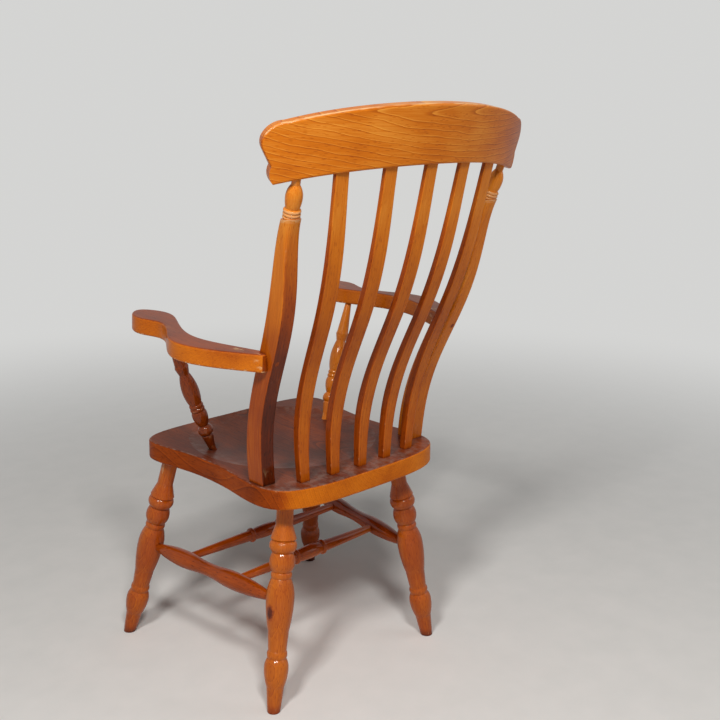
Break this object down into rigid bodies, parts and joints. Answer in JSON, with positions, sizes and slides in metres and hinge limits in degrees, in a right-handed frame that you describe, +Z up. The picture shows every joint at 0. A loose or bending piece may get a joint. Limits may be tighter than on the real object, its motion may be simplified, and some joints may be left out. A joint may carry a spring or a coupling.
{
  "type": "slat back armchair",
  "caption": "Varnished wooden armchair with a dished plank seat, turned splayed legs joined by stretchers, a bent lath back under a lobed crest rail, and flat arms on turned supports.",
  "frame": {"origin": "on the floor under the middle of the chair's box", "axes": "+Z up, the chair faces -Y, +X is the sitter's left"},
  "size_m": [0.646, 0.6631, 1.129],
  "materials": {
    "seat_beech": "gloss varnish over red-brown stain",
    "arm_beech": "gloss varnish over red-brown stain",
    "crest_beech": "gloss varnish over golden brown stain",
    "back_beech": "gloss varnish over red-brown stain",
    "turned_beech": "gloss varnish over red-brown stain",
    "plug_beech": "gloss varnish over red-brown stain",
    "screw_steel": "plain"
  },
  "bodies": {
    "root": {"seat_board": "seat_beech", "leg_front_left": "turned_beech", "leg_front_right": "turned_beech", "leg_rear_left": "turned_beech", "leg_rear_right": "turned_beech", "side_stretcher_left": "turned_beech", "side_stretcher_right": "turned_beech", "cross_stretcher_front": "turned_beech", "cross_stretcher_rear": "turned_beech", "back_post_left": "back_beech", "back_post_right": "back_beech", "lath_outer_left": "back_beech", "lath_inner_left": "back_beech", "lath_centre": "back_beech", "lath_inner_right": "back_beech", "lath_outer_right": "back_beech", "crest_rail": "crest_beech", "arm_left": "arm_beech", "arm_right": "arm_beech", "arm_support_left": "turned_beech", "arm_support_right": "turned_beech", "arm_screws": "screw_steel", "arm_screw_plugs": "plug_beech"}
  },
  "joints": []
}
